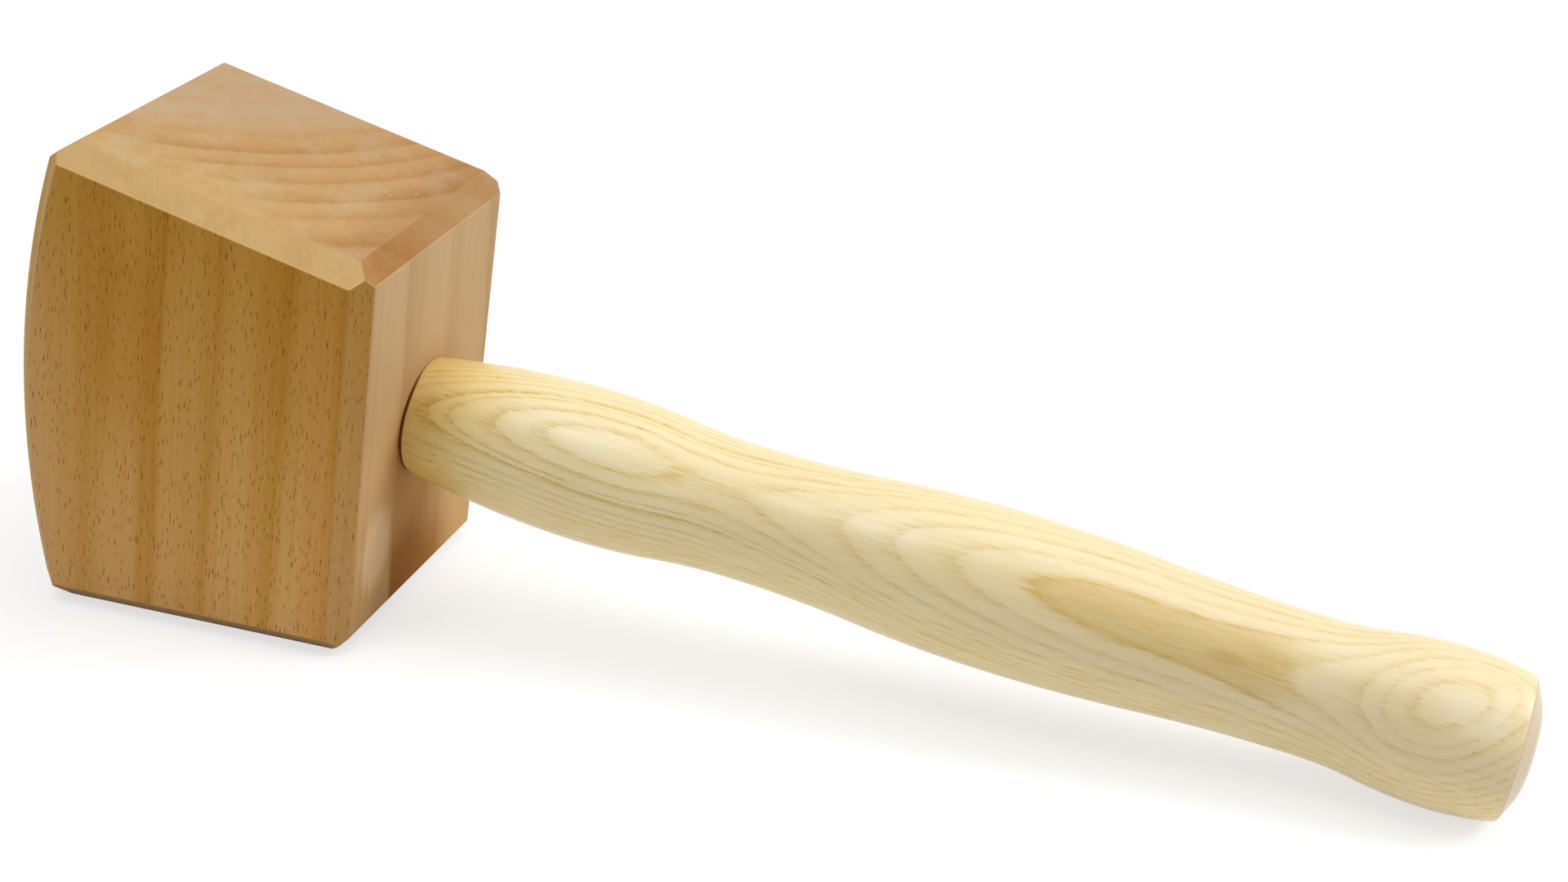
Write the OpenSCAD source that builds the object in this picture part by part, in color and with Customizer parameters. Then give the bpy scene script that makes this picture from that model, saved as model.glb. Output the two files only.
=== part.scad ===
// Joiner's wooden mallet: a beech head, a turned ash handle through the head's eye, and a wedge that locks the tenon.
// Lengths are in millimetres and angles in degrees.
// The mallet lies on its lower striking face, and the end of the handle comes down to the floor.
// Origin: centre of the lower striking face. X runs towards the handle's free end, Z is up, Y is across the head.

/* [Head] */
// Thickness of the head between its two cheeks
head_thickness = 70; // [62:1:78]
// Height of the handle-side face between the striking faces, before the edges are chamfered
head_height = 96.7; // [88:0.1:110]
// Length of the head along the handle, from the handle-side face to the middle of the curved crown
head_length = 85.2; // [76:0.1:94]
// Slope of each striking face to the handle's axis, so that the faces meet the work squarely in a swing
face_slope = 7.3; // [5:0.1:8.5]
// Radius of the curved crown
crown_radius = 216; // [190:2:280]
// Chamfer of the long edges between striking faces and cheeks
strike_chamfer = 4.9; // [2:0.1:7]
// Chamfer around the handle-side face and along the crown's two rims
edge_chamfer = 4.2; // [2:0.1:6]
// Chamfer between each striking face and the crown, measured along the striking face
crown_chamfer_on_face = 5; // [3:0.1:7]
// The same chamfer, measured along the crown
crown_chamfer_on_crown = 6.2; // [3:0.1:8]

/* [Handle] */
// Length of the handle outside the head
handle_length = 252; // [225:1:285]
// Diameter of the neck where it meets the head
neck_diameter = 26.8; // [26:0.1:30]
// Diameter of the first swell and of the end swell
swell_diameter = 34.8; // [33:0.1:37]
// Diameter of the swell under the palm
grip_diameter = 35.4; // [33:0.1:38]
// Diameter of the two waists
waist_diameter = 30; // [28:0.1:32]
// Diameter of the rim at the free end
rim_diameter = 31.4; // [29:0.1:32]
// Diameter of the flat at the free end
end_flat_diameter = 17; // [12:0.1:22]
// Length of the low cone between the rim and the flat
end_cone_length = 3.3; // [2:0.1:5]
// Chamfer that softens the shoulder against the head
shoulder_chamfer = 0.6; // [0.2:0.1:1]

/* [Handle outline] */
// Place of the first swell, as a share of the handle's length
first_swell_share = 0.167; // [0.14:0.001:0.19]
// Place of the first waist, as a share of the handle's length
first_waist_share = 0.317; // [0.29:0.001:0.35]
// Place of the swell under the palm, as a share of the handle's length
grip_share = 0.548; // [0.5:0.001:0.58]
// Place of the second waist, as a share of the handle's length
second_waist_share = 0.814; // [0.78:0.001:0.83]
// Place of the end swell, as a share of the handle's length
end_swell_share = 0.93; // [0.91:0.001:0.935]

/* [Joint] */
// Diameter of the round tenon
tenon_diameter = 24; // [20:0.5:24]
// Depth of the saw kerf in the tenon, measured from the crown
kerf_depth = 46; // [36:1:56]
// Width of the saw kerf at its foot
kerf_width = 1.6; // [1:0.1:2.4]
// Length of the wedge
wedge_length = 43; // [28:1:44]
// Thickness of the wedge at the crown
wedge_thickness = 5; // [4:0.1:6]
// Distance from each edge of the wedge to the side of the tenon
wedge_inset = 0.6; // [0.3:0.1:1.5]
// Radial clearance of the tenon in the eye
eye_clearance = 0.05; // [0.02:0.01:0.2]
// Clearance on each face of the wedge
wedge_clearance = 0.05; // [0.02:0.01:0.1]

/* [Hidden] */
$fn = 128;

// Room left around a block that another one trims
margin = 10;
block_reach = 4 * crown_radius;

// Centre of the crown's arc, on the handle's axis
crown_center = crown_radius - head_length;
// Distance of each striking face from the point where the handle's axis meets the handle-side face
face_distance = head_height / 2 * cos(face_slope);
// Sharp corner where the striking face would meet the crown
arc_to_face = face_distance - crown_center * sin(face_slope);
half_chord = sqrt(crown_radius * crown_radius - arc_to_face * arc_to_face);
corner_x = crown_center + arc_to_face * sin(face_slope) - half_chord * cos(face_slope);
corner_z = arc_to_face * cos(face_slope) + half_chord * sin(face_slope);
corner_angle = asin(corner_z / crown_radius);
// Ends of the chamfer at that corner, on the striking face and on the crown's tangent
crown_cut_face = [
    corner_x + crown_chamfer_on_face * cos(face_slope),
    corner_z - crown_chamfer_on_face * sin(face_slope)
];
crown_cut_arc = [
    corner_x - crown_chamfer_on_crown * sin(corner_angle),
    corner_z - crown_chamfer_on_crown * cos(corner_angle)
];
// The chamfer's line carried on past the crown
cut_share = (crown_cut_face[0] + head_length + margin) / (crown_cut_face[0] - crown_cut_arc[0]);
crown_cut_end = crown_cut_face + cut_share * (crown_cut_arc - crown_cut_face);
// Ends of the chamfer between the handle-side face and the striking face
side_cut_low = [0, head_height / 2 - edge_chamfer];
side_cut_high = [-edge_chamfer * cos(face_slope), head_height / 2 + edge_chamfer * sin(face_slope)];

// Centre of the lower striking face between its chamfers, along that face from the foot of the handle's axis
sharp_face_length = -corner_x / cos(face_slope);
chamfer_shift = (crown_chamfer_on_face - edge_chamfer) / 2;
rest_center = chamfer_shift - head_height / 2 * sin(face_slope) - sharp_face_length / 2;

// Stations of the handle's outline: distance from the head and radius
neck = [0, neck_diameter / 2];
first_swell = [first_swell_share * handle_length, swell_diameter / 2];
first_waist = [first_waist_share * handle_length, waist_diameter / 2];
grip_swell = [grip_share * handle_length, grip_diameter / 2];
second_waist = [second_waist_share * handle_length, waist_diameter / 2];
end_swell = [end_swell_share * handle_length, swell_diameter / 2];
rim = [handle_length - end_cone_length, rim_diameter / 2];
end_flat = [handle_length, end_flat_diameter / 2];

// Each round-over runs on past the middle and each round-in starts a hair lower, so that the two arcs truly cross
arc_overrun = 3;
arc_drop = 0.005;

// Foot of the kerf, and the tilt that the wedge gives each half of the tenon
kerf_foot = kerf_depth - head_length;
slot_half_width = wedge_thickness / 2 + wedge_clearance;
leaf_tilt = atan((slot_half_width - kerf_width / 2) / kerf_depth);
leaf_length = kerf_depth + margin;
wedge_width = tenon_diameter - 2 * wedge_inset;

// Moves a piece from the handle's axis to the resting place of the mallet
module resting() {
    translate([-rest_center, 0, face_distance])
        rotate([0, face_slope, 0])
            children();
}

// Drum whose round side is the crown, with its rims chamfered
module crown_drum() {
    inner = crown_radius - edge_chamfer;
    half = head_thickness / 2;
    translate([crown_center, 0, 0])
        rotate([90, 0, 0])
            rotate_extrude()
                polygon([
                    [0, -half], [inner, -half], [crown_radius, edge_chamfer - half],
                    [crown_radius, half - edge_chamfer], [inner, half], [0, half]
                ]);
}

// Plain drum that trims the tenon and the wedge flush with the crown
module crown_trim() {
    translate([crown_center, 0, 0])
        rotate([90, 0, 0])
            cylinder(r = crown_radius, h = head_thickness, center = true);
}

// Long bar with two chamfered edges on its upper side
module chamfered_bar(level, chamfer) {
    half = head_thickness / 2;
    translate([-block_reach / 2, 0, 0])
        rotate([90, 0, 90])
            linear_extrude(block_reach)
                polygon([
                    [-half, -block_reach], [half, -block_reach], [half, level - chamfer],
                    [half - chamfer, level], [chamfer - half, level], [-half, level - chamfer]
                ]);
}

// Side outline of the head with the chamfers that run across its thickness
module side_outline() {
    upper = [side_cut_low, side_cut_high, crown_cut_face, crown_cut_end];
    lower = [for (i = [len(upper) - 1:-1:0]) [upper[i][0], -upper[i][1]]];
    rotate([90, 0, 0])
        linear_extrude(2 * head_thickness, center = true)
            polygon(concat(upper, lower));
}

// Round bar from the kerf's foot to beyond the crown, tilted as the wedge tilts each half of the tenon
module tilted_round(diameter) {
    translate([kerf_foot, 0, 0])
        rotate([0, leaf_tilt - 90, 0])
            cylinder(d = diameter, h = leaf_length);
}

// Eye of the head: a straight bore, opened towards the crown along the striking direction
module eye() {
    bore = tenon_diameter + 2 * eye_clearance;
    translate([margin, 0, 0])
        rotate([0, -90, 0])
            cylinder(d = bore, h = head_length + 2 * margin);
    for (flip = [0, 1])
        mirror([0, 0, flip])
            tilted_round(bore);
}

// Head: one block between both striking faces, the handle-side face and the crown
module head() {
    color([0.72, 0.52, 0.32])
        resting()
            difference() {
                intersection() {
                    crown_drum();
                    side_outline();
                    face_bars();
                }
                eye();
            }
}

// Bars that give both striking faces and the handle-side face, with the chamfers along the cheeks
module face_bars() {
    intersection() {
        rotate([0, face_slope, 0])
            chamfered_bar(face_distance, strike_chamfer);
        mirror([0, 0, 1])
            rotate([0, face_slope, 0])
                chamfered_bar(face_distance, strike_chamfer);
        rotate([0, 90, 0])
            chamfered_bar(0, edge_chamfer);
    }
}

// Radius of the arc that rises by one distance over another, to a hundredth
function bend_radius(run, rise) = round(50 * (run * run + rise * rise) / rise) / 100;

// Strip of the handle's outline between two stations, up to a given radius
module strip(from, to, radius) {
    translate([0, min(from, to)])
        square([radius, abs(to - from)]);
}

// Outline that rounds over from the top of a swell through another station, and on past it
module round_over(swell, foot, overrun) {
    run = foot[0] - swell[0];
    bend = bend_radius(run, swell[1] - foot[1]);
    intersection() {
        strip(swell[0], foot[0] + sign(run) * overrun, swell[1]);
        translate([swell[1] - bend, swell[0]])
            circle(r = bend, $fn = 720);
    }
}

// Outline that rounds in from a middle station down to the bottom of a waist
module round_in(waist, middle) {
    bend = bend_radius(middle[0] - waist[0], middle[1] - waist[1]);
    difference() {
        strip(waist[0], middle[0], middle[1]);
        translate([waist[1] + bend, waist[0]])
            circle(r = bend, $fn = 720);
    }
}

// Outline between a swell and a waist: two nearly equal arcs that cross halfway
module wave(swell, waist) {
    middle = (swell + waist) / 2;
    round_over(swell, middle, arc_overrun);
    round_in(waist, middle - [0, arc_drop]);
}

// Half outline of the turned handle, radius across and distance from the head upwards
module handle_outline() {
    cone_run = [rim[1] - end_flat[1], rim[0] - end_flat[0]];
    cone_start = [rim[1], rim[0]] + cone_run / 2;
    cone_stop = [end_flat[1], end_flat[0]] - cone_run / 2;
    difference() {
        round_over(first_swell, neck, 0);
        polygon([
            [neck[1] - shoulder_chamfer, 0], [neck[1] + margin, -margin - shoulder_chamfer],
            [neck[1] + margin, margin + shoulder_chamfer]
        ]);
    }
    wave(first_swell, first_waist);
    wave(grip_swell, first_waist);
    wave(grip_swell, second_waist);
    wave(end_swell, second_waist);
    difference() {
        round_over(end_swell, rim, end_cone_length);
        polygon([cone_start, [cone_start[0], cone_stop[1]], cone_stop]);
    }
}

// One half of the split tenon, spread by the wedge and trimmed at the crown
module tenon_leaf() {
    intersection() {
        tilted_round(tenon_diameter);
        translate([kerf_foot, -tenon_diameter / 2, 0])
            rotate([0, leaf_tilt, 0])
                translate([-leaf_length, 0, kerf_width / 2])
                    cube([2 * leaf_length, tenon_diameter, tenon_diameter]);
        crown_trim();
    }
}

// Handle: turned grip, shoulder, round tenon and its two spread halves
module handle() {
    color([0.9, 0.8, 0.58])
        resting()
            union() {
                rotate([0, 90, 0])
                    rotate_extrude()
                        handle_outline();
                translate([shoulder_chamfer, 0, 0])
                    rotate([0, -90, 0])
                        cylinder(d = tenon_diameter, h = shoulder_chamfer - kerf_foot);
                for (flip = [0, 1])
                    mirror([0, 0, flip])
                        tenon_leaf();
            }
}

// Wedge: driven into the kerf, it spreads the tenon along the head's grain, and is trimmed at the crown
module wedge() {
    slope = tan(leaf_tilt);
    butt = slot_half_width - wedge_clearance + margin * slope;
    tip = butt - (wedge_length + margin) * slope;
    color([0.6, 0.42, 0.25])
        resting()
            intersection() {
                rotate([90, 0, 0])
                    linear_extrude(wedge_width, center = true)
                        polygon([
                            [-head_length - margin, -butt], [wedge_length - head_length, -tip],
                            [wedge_length - head_length, tip], [-head_length - margin, butt]
                        ]);
                crown_trim();
            }
}

head();
handle();
wedge();
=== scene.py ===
"""Studio scene of a joiner's wooden mallet: a beech head, a turned ash handle and the wedge in its tenon.

Lengths are in metres. Each piece is modelled along the handle's axis, with the origin where that axis meets
the handle-side face of the head, and is then laid down on the lower striking face, as the frame has it.
"""
import math
from types import SimpleNamespace

import bmesh
import bpy
from mathutils import Euler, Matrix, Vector


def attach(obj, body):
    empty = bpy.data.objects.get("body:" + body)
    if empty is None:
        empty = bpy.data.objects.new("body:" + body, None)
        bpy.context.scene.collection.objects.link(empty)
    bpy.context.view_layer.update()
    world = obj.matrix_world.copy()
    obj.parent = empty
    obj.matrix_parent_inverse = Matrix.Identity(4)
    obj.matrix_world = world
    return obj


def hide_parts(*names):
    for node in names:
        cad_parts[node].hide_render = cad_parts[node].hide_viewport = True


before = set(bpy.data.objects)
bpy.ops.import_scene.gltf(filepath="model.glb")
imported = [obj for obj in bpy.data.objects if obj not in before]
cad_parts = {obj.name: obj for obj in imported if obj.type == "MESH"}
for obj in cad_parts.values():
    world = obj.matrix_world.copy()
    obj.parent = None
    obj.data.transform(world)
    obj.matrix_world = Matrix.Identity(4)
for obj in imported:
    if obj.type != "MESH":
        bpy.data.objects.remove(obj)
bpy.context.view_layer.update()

MM = 0.001
BODY = "root"

# Head
HEAD_THICKNESS = 70 * MM
HEAD_HEIGHT = 96.7 * MM
HEAD_LENGTH = 85.2 * MM
FACE_SLOPE = math.radians(7.3)
CROWN_RADIUS = 216 * MM
STRIKE_CHAMFER = 4.9 * MM
EDGE_CHAMFER = 4.2 * MM
CROWN_CHAMFER_ON_FACE = 5.0 * MM
CROWN_CHAMFER_ON_CROWN = 6.2 * MM
CROWN_SKIN = 0.02 * MM
DRUM_SIDES = 720
EDGE_ROUNDING = 0.4 * MM
ROUNDING_STEPS = 3
WEAR_BAND = 1.4 * MM
SHARP_EDGE = math.radians(15)

# Handle
HANDLE_LENGTH = 252 * MM
NECK_RADIUS = 13.4 * MM
SWELL_RADIUS = 17.4 * MM
GRIP_RADIUS = 17.7 * MM
WAIST_RADIUS = 15 * MM
RIM_RADIUS = 15.7 * MM
END_FLAT_RADIUS = 8.5 * MM
END_CONE_LENGTH = 3.3 * MM
SHOULDER_ROUNDING = 0.35 * MM
SHOULDER_STEPS = 5
RIM_SOFTENING = 0.7 * MM
FLAT_SOFTENING = 3.0 * MM
SOFTENING_STEPS = 6
FIRST_SWELL = 0.167 * HANDLE_LENGTH
FIRST_WAIST = 0.317 * HANDLE_LENGTH
GRIP_SWELL = 0.548 * HANDLE_LENGTH
SECOND_WAIST = 0.814 * HANDLE_LENGTH
END_SWELL = 0.93 * HANDLE_LENGTH
LATHE_STEPS = 128
STATION_STEP = 2 * MM

# Joint
TENON_RADIUS = 12 * MM
EYE_CLEARANCE = 0.05 * MM
KERF_DEPTH = 46 * MM
KERF_WIDTH = 1.6 * MM
WEDGE_LENGTH = 43 * MM
WEDGE_THICKNESS = 5 * MM
WEDGE_INSET = 0.6 * MM
WEDGE_CLEARANCE = 0.05 * MM
BORE_SIDES = 96
SPARE = 10 * MM

# Points closer than this are merged, and edges bent by more than these angles stay sharp
MERGE_DISTANCE = 0.01 * MM
FLAT_CREASE = math.radians(30)
ROUND_CREASE = math.radians(35)

# Worked out from the sizes above
FACE_DISTANCE = HEAD_HEIGHT / 2 * math.cos(FACE_SLOPE)
CROWN_CENTER = CROWN_RADIUS - HEAD_LENGTH
ARC_TO_FACE = FACE_DISTANCE - CROWN_CENTER * math.sin(FACE_SLOPE)
HALF_CHORD = math.sqrt(CROWN_RADIUS ** 2 - ARC_TO_FACE ** 2)
CORNER_X = CROWN_CENTER + ARC_TO_FACE * math.sin(FACE_SLOPE) - HALF_CHORD * math.cos(FACE_SLOPE)
CORNER_Z = ARC_TO_FACE * math.cos(FACE_SLOPE) + HALF_CHORD * math.sin(FACE_SLOPE)
CHAMFER_SHIFT = (CROWN_CHAMFER_ON_FACE - EDGE_CHAMFER) / 2
REST_CENTER = CHAMFER_SHIFT - HEAD_HEIGHT / 2 * math.sin(FACE_SLOPE) + CORNER_X / math.cos(FACE_SLOPE) / 2
AXIS_FOOT = Vector((-REST_CENTER, 0, FACE_DISTANCE))
LYING = Euler((0, FACE_SLOPE, 0))
KERF_FOOT = KERF_DEPTH - HEAD_LENGTH
SLOT_HALF = WEDGE_THICKNESS / 2 + WEDGE_CLEARANCE
LEAF_TILT = math.atan((SLOT_HALF - KERF_WIDTH / 2) / KERF_DEPTH)

# Camera, with its turn in degrees
CAMERA_LENS = 56.05
CAMERA_SENSOR = 36
CAMERA_NEAREST = 0.01
CAMERA_PLACE = (0.27932, -0.45148, 0.28977)
CAMERA_TURN = (63.8974, -1.5848, 18.9712)

# Studio: the room's light, the floor's corners and paint, and each softbox's place, aim, width and watts
ROOM_LIGHT = 0.265
FLOOR_LOW = (-0.5, -0.34)
FLOOR_HIGH = (0.9, 1.2)
FLOOR_PALENESS = 0.86
FLOOR_SEEN_PALENESS = 0.4
FLOOR_SEEN_GLOW = 0.68
SOFTBOXES = (
    ("overhead_softbox", (0.25, 0.1, 1.3), (0.12, 0, 0.05), 1.2, 9.1),
    ("side_softbox", (1.25, 0.35, 0.9), (0.1, 0, 0.05), 0.7, 11.3),
    ("glint_softbox", (-0.12, -0.39, 0.95), (0.09, 0, 0.06), 0.24, 1.15))


# Camera and studio

def make_camera():
    camera = bpy.data.cameras.new("photo_camera")
    camera.lens = CAMERA_LENS
    camera.sensor_width = CAMERA_SENSOR
    camera.clip_start = CAMERA_NEAREST
    stand = bpy.data.objects.new("photo_camera", camera)
    stand.location = CAMERA_PLACE
    stand.rotation_euler = [math.radians(turn) for turn in CAMERA_TURN]
    bpy.context.scene.collection.objects.link(stand)
    bpy.context.scene.camera = stand


def make_softbox(name, place, aim, width, power):
    lamp = bpy.data.lights.new(name, "AREA")
    lamp.shape = "SQUARE"
    lamp.size = width
    lamp.energy = power
    stand = bpy.data.objects.new(name, lamp)
    stand.location = place
    stand.rotation_euler = (Vector(aim) - Vector(place)).to_track_quat("-Z", "Y").to_euler()
    bpy.context.scene.collection.objects.link(stand)


def seen_directly(tree):
    """Share that is 1 for rays from the camera, a mirror or glass, and 0 for rays that only carry light."""
    rays = tree.nodes.new("ShaderNodeLightPath")
    total = rays.outputs["Is Camera Ray"]
    for kind in ("Is Glossy Ray", "Is Transmission Ray"):
        either = tree.nodes.new("ShaderNodeMath")
        either.operation = "MAXIMUM"
        tree.links.new(total, either.inputs[0])
        tree.links.new(rays.outputs[kind], either.inputs[1])
        total = either.outputs[0]
    return total


def grey_shader(tree, kind, paleness):
    shader = tree.nodes.new(kind)
    shader.inputs["Color"].default_value = (paleness, paleness, paleness, 1)
    return shader


def switch_shader(tree, carried, seen, output):
    """Leads one shader to an output for rays that only carry light, and another for those seen directly."""
    either = tree.nodes.new("ShaderNodeMixShader")
    tree.links.new(seen_directly(tree), either.inputs["Fac"])
    tree.links.new(carried.outputs[0], either.inputs[1])
    tree.links.new(seen.outputs[0], either.inputs[2])
    tree.links.new(either.outputs[0], tree.nodes[output].inputs["Surface"])


def make_room():
    world = bpy.data.worlds.new("studio")
    world.use_nodes = True
    bpy.context.scene.world = world
    tree = world.node_tree
    tree.nodes.remove(tree.nodes["Background"])
    room = grey_shader(tree, "ShaderNodeBackground", ROOM_LIGHT)
    white = grey_shader(tree, "ShaderNodeBackground", 1)
    switch_shader(tree, room, white, "World Output")


def make_floor():
    """Pale board that is white with the mallet's soft shadow when seen, and throws back plain light."""
    (left, near), (right, far) = FLOOR_LOW, FLOOR_HIGH
    bpy.ops.object.select_all(action="DESELECT")
    bpy.ops.mesh.primitive_plane_add(size=1, location=((left + right) / 2, (near + far) / 2, 0))
    floor = bpy.context.object
    floor.scale = (right - left, far - near, 1)
    floor.name = "studio_floor"
    paint = bpy.data.materials.new("floor_paint")
    paint.use_nodes = True
    tree = paint.node_tree
    tree.nodes.remove(tree.nodes["Principled BSDF"])
    thrown = grey_shader(tree, "ShaderNodeBsdfDiffuse", FLOOR_PALENESS)
    shaded = grey_shader(tree, "ShaderNodeBsdfDiffuse", FLOOR_SEEN_PALENESS)
    glow = tree.nodes.new("ShaderNodeEmission")
    glow.inputs["Strength"].default_value = FLOOR_SEEN_GLOW
    seen = tree.nodes.new("ShaderNodeAddShader")
    tree.links.new(shaded.outputs[0], seen.inputs[0])
    tree.links.new(glow.outputs[0], seen.inputs[1])
    switch_shader(tree, thrown, seen, "Material Output")
    floor.data.materials.append(paint)


# Modelling by hand

def select_only(piece):
    bpy.ops.object.select_all(action="DESELECT")
    piece.select_set(True)
    bpy.context.view_layer.objects.active = piece


def start_edit(piece):
    """Leaves only this piece selected, in edit mode, with nothing selected on it."""
    select_only(piece)
    bpy.ops.object.mode_set(mode="EDIT")
    bpy.ops.mesh.select_all(action="DESELECT")


def end_edit():
    bpy.ops.object.mode_set(mode="OBJECT")


def settle(piece):
    """Puts the piece's place, turn and scale into its mesh."""
    select_only(piece)
    bpy.ops.object.transform_apply(location=True, rotation=True, scale=True)


def lay_down(piece):
    """Moves a piece from the handle's axis to the resting place of the mallet."""
    piece.rotation_euler = LYING
    piece.location = AXIS_FOOT
    settle(piece)


def pick(piece, kind, test):
    """Selects the faces or the edges that pass a test, in edit mode."""
    bpy.ops.mesh.select_mode(type=kind)
    shape = bmesh.from_edit_mesh(piece.data)
    for part in shape.faces if kind == "FACE" else shape.edges:
        part.select_set(test(part))
    bmesh.update_edit_mesh(piece.data)


def saw(point, outward):
    """Saws the whole piece along a plane and keeps the side that the plane's outward direction leaves."""
    bpy.ops.mesh.select_all(action="SELECT")
    bpy.ops.mesh.bisect(plane_co=point, plane_no=outward, use_fill=True, clear_outer=True)


def combine(piece, tool, operation):
    """Cuts, joins or trims a piece with another shape, which is used up."""
    step = piece.modifiers.new(operation.lower(), "BOOLEAN")
    step.operation = operation
    step.solver = "EXACT"
    step.object = tool
    select_only(piece)
    bpy.ops.object.modifier_apply(modifier=step.name)
    bpy.data.objects.remove(tool)


def round_bar(radius, length, place, turn, sides):
    """Round bar with its middle at a place, standing along Z before it is turned."""
    bpy.ops.object.select_all(action="DESELECT")
    bpy.ops.mesh.primitive_cylinder_add(
        vertices=sides, radius=radius, depth=length, location=place, rotation=turn)
    bar = bpy.context.object
    settle(bar)
    return bar


def crown_drum():
    """Drum whose round side is the crown, on its axis across the head."""
    return round_bar(
        CROWN_RADIUS - CROWN_SKIN, HEAD_THICKNESS, (CROWN_CENTER, 0, 0), (math.pi / 2, 0, 0), DRUM_SIDES)


def tilted_bar(radius, flip):
    """Round bar from inside the tenon to beyond the crown, tilted as the wedge tilts half of the tenon."""
    length = KERF_DEPTH + 2 * SPARE
    along = Vector((-math.cos(LEAF_TILT), 0, flip * math.sin(LEAF_TILT)))
    foot = Vector((KERF_FOOT, 0, 0))
    middle = foot + along * (length / 2 - SPARE / 2)
    return round_bar(radius, length, middle, (0, flip * LEAF_TILT - math.pi / 2, 0), BORE_SIDES)


def finish_normals(piece, crease):
    """Smooth shading with flat faces kept flat."""
    select_only(piece)
    bpy.ops.object.shade_smooth_by_angle(angle=crease)
    step = piece.modifiers.new("flat_faces", "WEIGHTED_NORMAL")
    step.keep_sharp = True
    bpy.ops.object.modifier_apply(modifier=step.name)


# Head

def head_saw_cuts():
    """Planes that square the drum into the head and chamfer its straight edges: a point and a way out."""
    half = HEAD_THICKNESS / 2
    side = Vector((1, 0, 0))
    cuts = [(Vector((0, 0, 0)), side)]
    for up in (1, -1):
        strike = Vector((math.sin(FACE_SLOPE), 0, up * math.cos(FACE_SLOPE)))
        strike_edge = Vector((0, 0, up * HEAD_HEIGHT / 2))
        cuts.append((strike_edge, strike))
        cuts.append((strike_edge - Vector((0, 0, up * EDGE_CHAMFER)), strike + side))
        on_face = Vector((
            CORNER_X + CROWN_CHAMFER_ON_FACE * math.cos(FACE_SLOPE), 0,
            up * (CORNER_Z - CROWN_CHAMFER_ON_FACE * math.sin(FACE_SLOPE))))
        corner_angle = math.asin(CORNER_Z / CROWN_RADIUS)
        on_crown = Vector((
            CORNER_X - CROWN_CHAMFER_ON_CROWN * math.sin(corner_angle), 0,
            up * (CORNER_Z - CROWN_CHAMFER_ON_CROWN * math.cos(corner_angle))))
        along = on_face - on_crown
        cuts.append((on_face, Vector((-up * along.z, 0, up * along.x))))
        for cheek in (1, -1):
            cheek_side = Vector((0, cheek, 0))
            cuts.append((strike_edge + cheek_side * (half - STRIKE_CHAMFER), strike + cheek_side))
    for cheek in (1, -1):
        cheek_side = Vector((0, cheek, 0))
        cuts.append((cheek_side * (half - EDGE_CHAMFER), side + cheek_side))
    return cuts


def make_head():
    head = crown_drum()
    head.name = "beech_head"
    start_edit(head)
    half = HEAD_THICKNESS / 2
    pick(head, "EDGE", lambda edge: abs(edge.verts[0].co.y - edge.verts[1].co.y) < half)
    bpy.ops.mesh.bevel(offset=EDGE_CHAMFER, segments=1, affect="EDGES")
    for point, outward in head_saw_cuts():
        saw(point, outward.normalized())
    bpy.ops.mesh.select_all(action="SELECT")
    bpy.ops.mesh.remove_doubles(threshold=MERGE_DISTANCE)
    bpy.ops.mesh.select_all(action="DESELECT")
    bpy.ops.mesh.select_mode(type="EDGE")
    bpy.ops.mesh.edges_select_sharp(sharpness=SHARP_EDGE)
    bpy.ops.mesh.bevel(
        offset=EDGE_ROUNDING, segments=ROUNDING_STEPS, affect="EDGES", material=1, clamp_overlap=True)
    pick(head, "FACE", lambda face: face.material_index == 0)
    bpy.ops.mesh.inset(thickness=WEAR_BAND, use_boundary=True, use_even_offset=True)
    mark_wear(head)
    end_edit()
    bore_radius = TENON_RADIUS + EYE_CLEARANCE
    straight_bore = round_bar(
        bore_radius, HEAD_LENGTH + 2 * SPARE, (-HEAD_LENGTH / 2, 0, 0), (0, math.pi / 2, 0), BORE_SIDES)
    combine(head, straight_bore, "DIFFERENCE")
    for flip in (1, -1):
        combine(head, tilted_bar(bore_radius, flip), "DIFFERENCE")
    lay_down(head)
    finish_normals(head, FLAT_CREASE)
    return head


def mark_wear(head):
    """Edge wear attribute: 1 on the rounded edges, falling to 0 at the far edge of the band beside them."""
    shape = bmesh.from_edit_mesh(head.data)
    wear = shape.verts.layers.float.new("edge_wear")
    for vert in shape.verts:
        vert[wear] = 1.0
    for face in shape.faces:
        face.material_index = 0
        if face.select:
            for vert in face.verts:
                vert[wear] = 0.0
    bmesh.update_edit_mesh(head.data)


# Handle

def bend_drop(run, reach, rise):
    """How far an arc has dropped at a run from its top, where it drops by rise over reach."""
    radius = (reach ** 2 + rise ** 2) / (2 * rise)
    return radius - math.sqrt(radius ** 2 - run ** 2)


def wave_radius(place, before, after):
    """Radius between a swell and a waist, each a place and a radius: two equal arcs that meet halfway."""
    waist, swell = sorted((before, after), key=lambda bend: bend[1])
    reach = abs(waist[0] - swell[0]) / 2
    rise = (swell[1] - waist[1]) / 2
    from_swell = abs(place - swell[0])
    if from_swell <= reach:
        return swell[1] - bend_drop(from_swell, reach, rise)
    return waist[1] + bend_drop(abs(place - waist[0]), reach, rise)


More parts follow.
